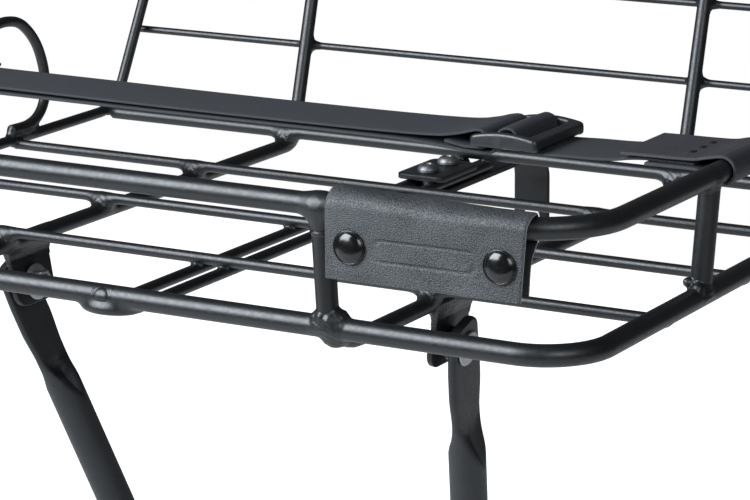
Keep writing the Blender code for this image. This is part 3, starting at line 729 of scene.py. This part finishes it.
for side, word in SIDES:
    post, leg = "front_post_" + word, "side_post_" + word
    cross, hoop = "cross_tube_" + word, "side_hoop_" + word
    x = side * FRONT_POST_X
    around = [(ball((x + 6.0 * math.cos(a), 5.2 * math.sin(a), 5.0 + 0.7 * math.cos(3 * a)),
                    1.5 + 0.3 * math.sin(5 * a)), 2.0)
              for a in np.linspace(0.3, math.tau + 0.3, 9, endpoint=False)]
    foot = [(ball((x + side * 2.0, 3.0, -3.0), 6.6), 3.0),
            (ball((x + side * 4.5, 0.5, 2.0), 5.6), 3.0)]
    weld((x + side * 1.5, 1, 0), ["base_ring", post, cross], 5.5, 19.0, around + foot)
    weld((x, RAIL_Y, 49), ["top_rail", post], 8.0, 16.0,
         [(ring_bead((x, -4.1, 43.6), (0, -0.09, 1), 4.9, 0.6), 1.0)], ripple=0.03)
    lumps = [(ball((side * 232.0, SIDE_POST_Y - 4.6, 7.0), 2.3), 1.4),
             (ball((side * 237.6, SIDE_POST_Y - 6.4, 4.6), 3.0), 1.6),
             (ball((side * 234.0, SIDE_POST_Y + 6.0, 5.0), 2.4), 2.0)]
    weld((side * BASE_HALF, SIDE_POST_Y, 2), ["base_ring", leg], 4.0, 14.0, lumps)
    weld((side * RAIL_HALF, SIDE_POST_Y, 50), ["top_rail", leg], 3.0, 14.0)
    for number, y in enumerate(DECK_ROD_YS, start=1):
        rod = "deck_rod_%d" % number
        edge = ["base_ring"] if y < SWAGE_Y else ["wall_frame", hoop]
        weld((side * 232.0, y, -1), [*edge, rod], 3.5, 11.0)
        weld((side * CROSS_X, y, -5.5), [cross, rod], 9.0, 15.0, ripple=0.08)
        weld((side * SPINE_X, y, -5.0), ["spine_rod_" + word, rod], 3.0, 8.0)
    weld((side * 234.0, REAR_RAIL_Y, -1), ["wall_frame", "rear_rail"], 4.0, 11.0)
    weld((side * CROSS_X, REAR_RAIL_Y, -5), [cross, "rear_rail"], 9.0, 15.0)
    weld((side * SPINE_X, REAR_RAIL_Y, -5), ["spine_rod_" + word, "rear_rail"], 3.0, 9.0)
    for number, z in enumerate(WALL_ROD_ZS, start=1):
        rod = "wall_rod_%d" % number
        y = wall_point(0, z)[1]
        weld((side * CROSS_X, y + 3, z), [cross, rod], 6.5, 11.0)
        weld((side * (WALL_HALF - WALL_NARROW * z), y + 3, z), ["wall_frame", rod], 5.5, 9.0)
    weld(wall_point(side * CROSS_X, WALL_TOP_Z - 3), ["wall_frame", cross], 5.0, 11.0)
    weld((side * 236.5, 268.0, 5.0), ["wall_frame", hoop], 5.0, 13.0)
    weld((side * 236.3, 256.0, 3.0), ["wall_frame", hoop], 5.0, 11.0)
    tilt = unit([side, 0, -STRUT_IN])
    rise = unit([side * STRUT_IN, 0, 1])
    middle = pivot(side) + rise * 17.0

    def plate_edge(p, middle=middle, tilt=tilt, rise=rise):
        return box_distance(p, middle, [tilt, (0, 1, 0), rise], (PLATE / 2, 16.8, 6.0))
    weld((side * 119.5, PIVOT[1], -10.0), [cross], 6.0, 24.0, [(plate_edge, 6.0)])


def nose(p):
    """The half-round plate under the front rail, blended into the rail and the two rods."""
    flat = (np.hypot(p[:, 0] / NOSE_HALF, (p[:, 1] - NOSE_Y) / NOSE_DEEP) - 1.0) * 11.6
    return soft_max(np.maximum(flat, p[:, 1] - 13.5), np.abs(p[:, 2] - NOSE_Z) - 3.0, 3.4)


weld((0, 2, -5.5), ["base_ring", "spine_rod_left", "spine_rod_right"], 2.2, 23.0, [(nose, 2.6)],
     ripple=0.0, step=0.5)
weld((0, RAIL_R * -0.8, 0.4), ["base_ring"], 1.5, 7.0,
     [(ring_bead((x, 0, 0), (1, 0, 0), 4.72, 0.42), 0.5) for x in (-4.6, 4.6)])
piece("welds", np.vstack(WELDS["points"]), WELDS["faces"], "coat", "carrier", angle=75.0)

slab("nose_plate", [(x * 1.21, NOSE_Y + y * 0.8) for x, y in arc(0, 0, 11.0, 180, 360, 40)]
     + [(13.3, 12), (-13.3, 12)], 1.4, Matrix.Translation((0, 0, -6.3)), "coat")
rivet = lathe("nose_rivet", [(0, 0.85), (1.6, 0.84), (2.9, 0.70), (3.6, 0.4), (4.0, 0.0),
                             (4.15, -0.5), (4.15, -1.6), (0, -1.6)],
              place((0, -RAIL_R + 0.1, 0.3), (1, 0, 0), (0, 0, 1)), "coat")
for vertex in rivet.data.vertices:              # bent round the rail it sits on
    high = vertex.co.z - DECK_ZERO[2] * MM
    vertex.co.y += RAIL_R * MM - math.sqrt(max((RAIL_R * MM) ** 2 - high ** 2, 0.0))


# -------------------------------- struts and brackets

def strut_axes(side):
    down = unit([-side * STRUT_IN, STRUT_BACK, -1.0])
    outward = unit([side, 0.0, -STRUT_IN])
    return down, outward, unit(np.cross(outward, down))


def ease(value, low, high):
    t = np.clip((value - low) / (high - low), 0, 1)
    return t * t * (3 - 2 * t)


def strut(side, word):
    """A round tube pressed flat at both ends; the flat runs out in a V-shaped scoop."""
    down, outward, across = strut_axes(side)
    start = pivot(side) + outward * STRUT_OFFSET
    length = STRUT_DROP * math.sqrt(1 + STRUT_IN ** 2 + STRUT_BACK ** 2)
    near = np.concatenate([-13 + 6 * (1 - np.cos(np.linspace(0, math.pi / 2, 10))),
                           np.linspace(-6.0, 84.0, 121)])
    stations = np.concatenate([near, np.linspace(90, length - 90, 40), length - near[::-1]])
    around = circle(96)
    u, v = np.cos(around), np.sin(around)
    rings = []
    for s in stations:
        end = min(s, length - s)
        first = s < length / 2
        half = STRUT_FLAT - 1.0 * (1 - ease(end, -7, 12)) - 2.0 * ease(end, 22, 44)
        half += (STRUT_R - half) * ease(end, 41, 56)
        if end < -6:
            half *= 0.52 + 0.48 * math.sqrt(max(1 - ((-6 - end) / 7.0) ** 2, 0.0))
        low = 38.0 + 15.0 * (1 - np.abs(u)) ** 0.9
        t = ease(end, low, low + 19.0)
        soft = np.minimum(1.0, 0.35 + 0.65 * np.sqrt(np.maximum(1 - u ** 8, 0)))
        flat = np.clip(3.6 * v, -1, 1) * STRUT_FLAT_T * soft
        crease = 0.4 * np.exp(-(u * half / 1.6) ** 2) * ease(end, 34, 50) * (1 - t)
        w = (1 - t) * flat + t * v * STRUT_R - np.sign(v) * crease
        if first:
            away = np.hypot(s - DIMPLE[0], u * half - DIMPLE[1])
            deep = np.exp(-away ** 2 / 14.0) * np.minimum(2.0, np.abs(w) * 0.8)
            w = np.where(v < 0, w + deep, w)
            ridge = np.exp(-(away - 6.0) ** 2 / 3.0)
            w = np.where((v < 0) & (s > 48), w - 0.5 * ridge, w)
        rings.append(start + down * s + across * (u * half)[:, None] + outward * w[:, None])
    points, faces = skin(rings)
    obj = piece("strut_%s_look" % word, points, faces, "strut", "strut_" + word,
                ["strut_" + word], angle=60.0)
    for spot, radius in ((start, HOLE_R), (start + down * length, AXLE_HOLE_R)):
        drill(obj, spot, outward, radius)


def drill(obj, point, axis, radius):
    """Cut a clean round hole through a piece."""
    work = bmesh.new()
    bmesh.ops.create_cone(work, cap_ends=True, segments=48, radius1=radius * MM,
                          radius2=radius * MM, depth=30 * MM)
    mesh = bpy.data.meshes.new("cutter")
    work.to_mesh(mesh)
    work.free()
    subtract(obj, mesh, Matrix.Translation(Vector(world(point))) @ facing(axis))


def subtract(obj, mesh, where=Matrix()):
    """Cut a closed mesh out of a piece, and leave nothing of the cutter behind."""
    cutter = add("cutter", mesh)
    cutter.matrix_world = where
    cut = obj.modifiers.new("hole", "BOOLEAN")
    cut.object, cut.operation, cut.solver = cutter, "DIFFERENCE", "EXACT"
    solid = baked(obj)
    obj.modifiers.remove(cut)
    solid.set_sharp_from_angle(angle=math.radians(40))
    obj.data = solid
    bpy.data.objects.remove(cutter, do_unlink=True)


def screw(radius, height, seat, tip, flange=0.0):
    """A bolt's profile: a domed head with a shallow round recess, down to the shank's end."""
    rim = flange or radius
    dome = [(0, 0.72), (0.34, 0.72), (0.40, 0.98), (0.62, 0.93), (0.84, 0.72), (0.96, 0.46),
            (1, 0.30)]
    return [(radius * r, seat + height * h) for r, h in dome] + [
        (rim - 0.3, seat + 1.0), (rim, seat + 0.7), (rim, seat + 0.15), (rim - 0.15, seat),
        (BOLT_R, seat), (BOLT_R, tip + 0.6), (BOLT_R - 0.6, tip), (0, tip)]


def nut(node, where, body):
    hexagon = arc(0, 0, NUT_FLATS / math.sqrt(3), 0, 300, 5)
    slab(node, hexagon, NUT_T, where, "zinc", body, holes=[hole()[::-1]])


for side, word in SIDES:
    strut(side, word)
    outward = strut_axes(side)[1]
    rise = (BRACKET_TOP_Z - PIVOT[2]) * math.hypot(1, STRUT_IN)
    half = BRACKET_HALF - 0.9
    x, y = half - BRACKET_CORNER, BRACKET_CORNER - BRACKET_DROP + 1.0
    outline = ([(-half, rise)] + arc(-x, y, BRACKET_CORNER, 180, 270, 12)
               + arc(x, y, BRACKET_CORNER, 270, 360, 12) + [(half, rise)])
    where = place(pivot(side), (0, 1, 0), (side * STRUT_IN, 0, 1))
    slab("strut_bracket_" + word, outline, PLATE, where, "plate", holes=[hole()], bevel=0.6)
    where = Matrix.Translation(Vector(pivot(side))) @ facing(outward)
    seat = STRUT_OFFSET + STRUT_FLAT_T + GAP
    tip = -PLATE / 2 - GAP - WASHER_T - GAP - NUT_T
    lathe("strut_bolt_" + word, screw(5.5, 4.0, seat, tip - 1.0, BOLT_FLANGE), where, "zinc")
    lathe("strut_washer_" + word,
          [(0, -1.8), (8.2, -1.85), (8.8, -2.0), (9.0, -2.4), (9.0, -3.1), (8.6, -3.4),
           (7.0, -3.9), (5.5, -4.0), (0, -4.0)], where, "zinc")
    inside, outside = PLATE / 2 + GAP, PLATE / 2 + GAP + SPACER
    lathe("strut_spacer_" + word,
          [(0, inside), (SPACER_R - 0.5, inside), (SPACER_R, inside + 0.5),
           (SPACER_R, outside - 0.5), (SPACER_R - 0.5, outside), (0, outside)], where,
          "plastic")
    nut("strut_nut_" + word, where @ Matrix.Translation((0, 0, tip + NUT_T / 2)), "carrier")


# -------------------------------- crown arm

def crown_arm():
    half_t = PLATE / 2
    path = [(ARM_FRONT_Y, ARM_Z), *[(y, ARM_Z) for y in np.linspace(300, 400, 12)]]
    path += arc(ARM_Y - ARM_BEND, ARM_Z - ARM_BEND, ARM_BEND, 90, 0, 20)
    path += [(ARM_Y, z) for z in np.linspace(-32, ARM_END_Z, 12)]
    half, edge = ARM_HALF - SOFTENED, half_t - SOFTENED
    section = [(-half, -half_t), (half, -half_t), (ARM_HALF, -edge), (ARM_HALF, edge),
               (half, half_t), (-half, half_t), (-ARM_HALF, edge), (-ARM_HALF, -edge)]
    rings = [[(x, p[0] + n[0] * h, p[1] + n[1] * h) for x, h in section]
             for p, n in zip(path, plane_normals(path))]
    points, faces = skin(rings)
    obj = piece("crown_arm_look", points, faces, "plate", "crown_mount", ["crown_arm"],
                angle=30.0)
    fix_normals(obj.data)
    for y in CLAMP_YS:
        drill(obj, (0, y, ARM_Z), (0, 0, 1), HOLE_R)
    outline = (arc(0, SLOT_HIGH - SLOT_R, SLOT_R, 0, 180, 24)
               + arc(0, SLOT_LOW + SLOT_R, SLOT_R, 180, 360, 24))
    mesh = mesh_of("cutter", *skin([[(x, ARM_Y + y, z) for x, z in outline]
                                    for y in (-10, 10)]))
    fix_normals(mesh)
    subtract(obj, mesh)


crown_arm()
half_x, half_y = [half - CLAMP_CORNER for half in CLAMP_HALF]
middle = sum(CLAMP_YS) / 2
outline = [point for turn, (x, y) in enumerate(((1, 1), (-1, 1), (-1, -1), (1, -1)))
           for point in arc(x * half_x, y * half_y, CLAMP_CORNER, 90 * turn, 90 * turn + 90, 8)]
slab("clamp_plate", outline, PLATE, Matrix.Translation((0, middle, CLAMP_Z)), "coat",
     "crown_mount", holes=[hole(0, y - middle) for y in CLAMP_YS], bevel=0.6)
for number, y in enumerate(CLAMP_YS, start=1):
    where = Matrix.Translation((0, y, CLAMP_Z))
    nut_top = ARM_Z - PLATE / 2 - GAP - CLAMP_Z
    lathe("clamp_bolt_%d" % number, screw(5.6, 4.2, PLATE / 2 + GAP, nut_top - NUT_T - 1.0),
          where, "dull_zinc", "crown_mount")
    nut("clamp_nut_%d" % number, where @ Matrix.Translation((0, 0, nut_top - NUT_T / 2)),
        "crown_mount")


# -------------------------------- leather label

def label():
    """The folded label: a slack fold over the rail, with a plain frame pressed into it."""
    wrap = RAIL_R + 0.4 + LEATHER / 2
    path = [(-wrap, z) for z in np.linspace(-LABEL_DROP, 1.0, 48)]
    path += [(-wrap + 0.2, 2.6), (-wrap + 0.9, 4.3), (-wrap + 2.1, 5.8), (-wrap + 3.8, 7.1),
             (-0.4, 8.0), (2.2, 8.5), (5.0, 8.4), (7.8, 7.5), (10.0, 5.8), (11.3, 3.4),
             (11.6, 0.8), (10.8, -2.0), (9.2, -4.6), (7.0, -7.2), (4.6, -9.8), (2.6, -12.6),
             (1.6, -15.6), (1.2, -19.0), (1.1, -24.0), (1.0, -LABEL_DROP + 1.5)]
    path = smooth_route(path, 3)

    def across(share):
        front = 215.4 + 2.6 * min(share / 0.36, 1.0)
        beside_rail = math.exp(-((share - 0.60) / 0.07) ** 2)
        return 121.6, front - 1.6 * beside_rail - 2.6 * max(share - 0.42, 0) / 0.58

    def swell(length, x):
        low = np.clip((length - 1.0) / 3.0, 0, 1) * np.clip((26.0 - length) / 8.0, 0, 1)
        sunk = frame_groove(x, length, *LABEL_FRAME)
        pull = sum(np.exp(-(((x - sx) ** 2) + (length - 14.8) ** 2) / 90.0) for sx in SNAP_XS)
        wave = 0.22 * np.sin((x - 121) / 94 * math.tau + 0.6) * low
        fold = 0.5 * np.exp(-((length - 37.0) / 5.0) ** 2) * np.sin((x - 130) / 62 * math.tau)
        return -0.55 * sunk + wave + fold - 0.3 * pull * low

    def put(a, b, x):
        snug = np.clip((x - 124.0) / 75.0, 0, 1) ** 0.7
        b = np.where(b > 0, b * (1 - 0.27 * snug), b)
        return np.stack([x, RAIL_Y + np.where(a > 2, 2 + (a - 2) * (1 - 0.2 * snug), a),
                         RAIL_Z + b], -1)

    # The inner face takes the near-black painted-shade look.
    obj, length, width, area = strip("label_leather", path, LEATHER, across, put, "label",
                                     "carrier", swell=swell, others=("label_back_painted_shade", "label_edge"))


def frame_groove(x, y, cx, cy, half_x, half_y):
    """1 inside a rounded rectangular groove about a centre, 0 off it, smooth between."""
    corner = 2.5
    qx = np.abs(x - cx) - half_x + corner
    qy = np.abs(y - cy) - half_y + corner
    d = np.hypot(np.maximum(qx, 0), np.maximum(qy, 0)) + np.minimum(np.maximum(qx, qy), 0)
    d = np.abs(d - corner)
    t = np.clip((1.0 - d) / 0.6, 0, 1)
    return t * t * (3 - 2 * t)


label()
front = RAIL_Y - RAIL_R - 0.4 - LEATHER - 0.25
cap = [(0, 3.0), (1.6, 2.96), (3.2, 2.78), (4.6, 2.42), (5.7, 1.92), (6.4, 1.42), (6.75, 1.02),
       (6.9, 0.86), (7.05, 0.92), (7.3, 0.95), (7.55, 0.8), (7.65, 0.5), (7.6, 0.1), (7.2, -0.3),
       (0, -0.3)]
between = RAIL_Y - RAIL_R - 0.4
for x, word in zip(SNAP_XS, ("left", "right")):
    lathe("snap_cap_" + word, cap, place((x, front, SNAP_Z), (1, 0, 0), (0, 0, 1)), "snap",
          steps=72, angle=60)
    lathe("snap_socket_" + word,
          [(0, 3.9), (3.6, 3.9), (4.2, 3.5), (4.4, 2.6), (5.0, 2.2), (5.0, 0.3), (4.7, 0),
           (0, 0)], place((x, between + GAP, SNAP_Z), (-1, 0, 0), (0, 0, 1)), "zinc")
    lathe("snap_stud_" + word,
          [(0, 1.2), (3.0, 1.2), (3.6, 0.8), (4.6, 0.75), (5.0, 0.45), (5.0, 0.0), (0, 0.0)],
          place((x, RAIL_Y + 1.2 + LEATHER / 2 + GAP, SNAP_Z), (-1, 0, 0), (0, 0, 1)), "snap")


# -------------------------------- strap

def even(width):
    """The edges of a strip of even width, on the strap's middle line."""
    return lambda share: (STRAP_Y - width / 2, STRAP_Y + width / 2)


def ribbon(node, path):
    def put(a, b, w):
        crown = 0.35 * ((w - STRAP_Y) / (WEBBING / 2)) ** 2
        return np.stack([a, w, b - crown], -1)

    obj, length, width, _ = strip(node, path, WEBBING_T, even(WEBBING), put, "webbing",
                                  "strap_set")


def strap():
    """The long webbing loops the buckle's far bar; the short one goes over its middle bar and
    its free end lies under the long one."""
    end = RAIL_HALF - 15.0
    over = BUCKLE_Z + BUCKLE_T / 2 + WEBBING_T / 2 + 0.5
    under = BUCKLE_Z - BUCKLE_T / 2 - WEBBING_T / 2 - 0.5
    between = (over + under) / 2
    x, z = BUCKLE_X, STRAP_Z
    main = [(-end, z + 0.4), (-208.0, z + 0.6), (-180.0, z + 0.3), (-120.0, z), (-60.0, z - 0.4),
            (0.0, z - 0.5), (55.0, z - 0.3), (x - 40.0, z + 0.5), (x - 27.0, z + 2.2),
            (x - 18.5, over - 0.6), (x - 14.6, over - 0.1), (x - 12.6, over - 0.7),
            (x - 11.2, over - 2.2), (x - 10.9, between), (x - 11.3, under + 1.6),
            (x - 12.8, under + 0.3), (x - 16.5, under), (x - 24.0, under + 0.1),
            (x - 33.0, z - 1.7)]
    ribbon("strap_long", smooth_route(main, 7))
    low = z - 3.1
    short = [(end, z), (214.0, z), (202.0, z), (193.0, z - 0.7), (185.0, z - 2.0),
             (175.0, z - 2.7), (160.0, under + 0.4), (x + 20.0, under), (x + 12.0, under - 0.1),
             (x + 8.0, under + 0.3), (x + 5.9, under + 1.9), (x + 5.0, between),
             (x + 4.5, over - 1.0), (x + 3.3, over + 0.9), (x + 1.0, over + 1.9),
             (x - 1.4, over + 1.8), (x - 3.8, over + 0.5), (x - 5.3, over - 1.6),
             (x - 5.9, between), (x - 6.4, under + 0.6), (x - 7.8, under - 1.3),
             (x - 10.5, under - 2.2), (x - 18.0, under - 2.3), (x - 34.0, under - 1.2),
             (x - 60.0, low - 0.2), (0.0, low), (-60.0, low), (-120.0, low + 0.2),
             (-175.0, low + 0.3)]
    ribbon("strap_short", smooth_route(short, 6))


def anchor(side, word):
    wrap = RAIL_R + 0.4 + ANCHOR_T / 2
    path = [(-38.0, -0.75), (-34.0, -0.65), (-26.0, -0.6), (-18.0, -0.6), (-13.0, -0.8),
            (-9.0, -1.7)]
    path += arc(0, 0, wrap, 212, 446, 40)
    path += [(-3.5, 5.85), (-8.0, 4.95), (-14.0, 3.75), (-24.0, 3.4), (-34.0, 3.3),
             (-43.0, 3.2), (-50.0, 3.05)]
    path = smooth_route(path, 4)

    def put(a, b, w):
        return np.stack([side * (RAIL_HALF + a), w, RAIL_Z + b], -1)

    obj, length, width, _ = strip("strap_anchor_" + word, path, ANCHOR_T, even(ANCHOR), put,
                                  "anchor", "strap_set")
    stitches("anchor_stitches_" + word, side * (RAIL_HALF - 20.0),
             RAIL_Z + 3.58 + ANCHOR_T / 2)


def stitches(name, x, z):
    """Bar tacks: each three parallel turns of thick thread whose ends sink in."""
    t = np.linspace(-1, 1, 9)
    around = circle(10)
    section = STITCH_R * np.stack([np.cos(around), 0 * around, np.sin(around)], -1)
    points, faces = [], []
    for row in STITCH_ROWS:
        for turn in (-0.75, 0.0, 0.75):
            route = np.stack([x + turn + 0 * t, STRAP_Y + row + STITCH_HALF * t,
                              z - 0.75 * t ** 8], -1)
            count = sum(len(v) for v in points)
            v, f = skin(route[:, None] + section)
            points.append(v)
            faces += [tuple(i + count for i in face) for face in f]
    piece(name, np.vstack(points), faces, "thread", "strap_set")


def buckle():
    """A moulded three-bar slide: arched side rails, a wide end bar and a ribbed middle bar."""
    rail_y = WEBBING / 2 + 2.6
    centre = np.array([BUCKLE_X, STRAP_Y, BUCKLE_Z])

    def field(p):
        q = p - centre
        x, y, z = q.T
        arch = 2.9 - 2.4 * (x / 17.5) ** 2
        top = soft_max(z - arch - 1.6, -3.0 - z, 1.6)
        side = soft_max(top, np.abs(np.abs(y) - rail_y) - 2.1, 1.8)
        rail = soft_max(side, np.abs(x) - 17.3, 2.4)
        right = box_distance(q, (13.9, 0, 0), np.eye(3), (2.2, rail_y - 0.4, 1.9)) - 1.1
        right = soft_max(right, z - 2.6 + 0.18 * (x - 13.9), 1.2)
        left = box_distance(q, (-15.1, 0, -0.6), np.eye(3), (1.4, rail_y, 1.3)) - 0.7
        bar = box_distance(q, (-0.2, 0, 0.3), np.eye(3), (2.0, rail_y, 1.8)) - 0.7
        for other, k in ((right, 1.4), (left, 1.4), (bar, 1.0)):
            rail = soft_min(rail, other, k)[0]
        return rail

    span = np.array([19.5, 27.5, 6.5])
    points, faces = net(field, centre - span, centre + span, BUCKLE_STEP)
    piece("buckle_look", points, faces, "plastic", "strap_set", ["buckle"], angle=60.0)


strap()
for side, word in SIDES:
    anchor(side, word)
buckle()


# -------------------------------- stage, lights, camera

def floor():
    mesh = bpy.data.meshes.new("floor")
    size, low = 1.3, CAD_BOX[0][2] - 0.0005
    mesh.from_pydata([(-size, -size, low), (size, -size, low), (size, size, low),
                      (-size, size, low)], [], [(0, 1, 2, 3)])
    look = Look("floor", (0.50, 0.50, 0.50), 0.9, Specular_IOR_Level=0.0,
                Emission_Color=(1.0, 1.0, 1.0, 1.0))
    seen = look.add("ShaderNodeLightPath").outputs["Is Camera Ray"]
    look.link(look.ramp(seen, 0.0, 1.0, 0.28, 1.0), "Emission Strength")
    mesh.materials.append(look.material)
    add("floor", mesh)


def softbox(name, at, target, size, power):
    """A square, faintly blue area light."""
    light = bpy.data.lights.new(name, "AREA")
    light.shape = "RECTANGLE"
    light.size = light.size_y = size
    light.energy = power
    light.color = (0.86, 0.935, 1.0)
    add(name, light).matrix_world = (Matrix.Translation(at)
                                     @ facing(Vector(target) - Vector(at), "-Z"))


def surroundings():
    """White to the camera, a dim even grey for everything it lights and reflects."""
    sky = bpy.data.worlds.new("sky")
    sky.use_nodes = True
    tree = sky.node_tree
    background = tree.nodes["Background"]
    path = tree.nodes.new("ShaderNodeLightPath")
    mix = tree.nodes.new("ShaderNodeMix")
    mix.data_type = "RGBA"
    mix.inputs[6].default_value = (0.075, 0.078, 0.086, 1.0)
    mix.inputs[7].default_value = (1.0, 1.0, 1.0, 1.0)
    tree.links.new(path.outputs["Is Camera Ray"], mix.inputs[0])
    tree.links.new(mix.outputs[2], background.inputs["Color"])
    bpy.context.scene.world = sky


def camera():
    lens = bpy.data.cameras.new("camera")
    lens.sensor_width = 36.0
    lens.lens = 157.15
    lens.clip_end = 100.0
    obj = add("camera", lens)
    right = Vector((0.8682, 0.4960, -0.0070))
    down = Vector((0.1130, -0.2116, -0.9707))
    ahead = Vector((-0.48306, 0.84209, -0.23979))
    turn = Matrix((right, -down, -ahead)).transposed().to_4x4()
    obj.matrix_world = Matrix.Translation(world((815.34, -1178.28, 372.62)).tolist()) @ turn
    bpy.context.scene.camera = obj


floor()
softbox("key", (-1.05, -1.75, 1.15), (0.0, -0.35, 0.0), 1.5, 120.0)
softbox("fill", (1.5, -1.45, 0.95), (0.05, -0.35, 0.05), 0.9, 16.0)
surroundings()
camera()
bpy.context.scene.view_settings.view_transform = "Standard"
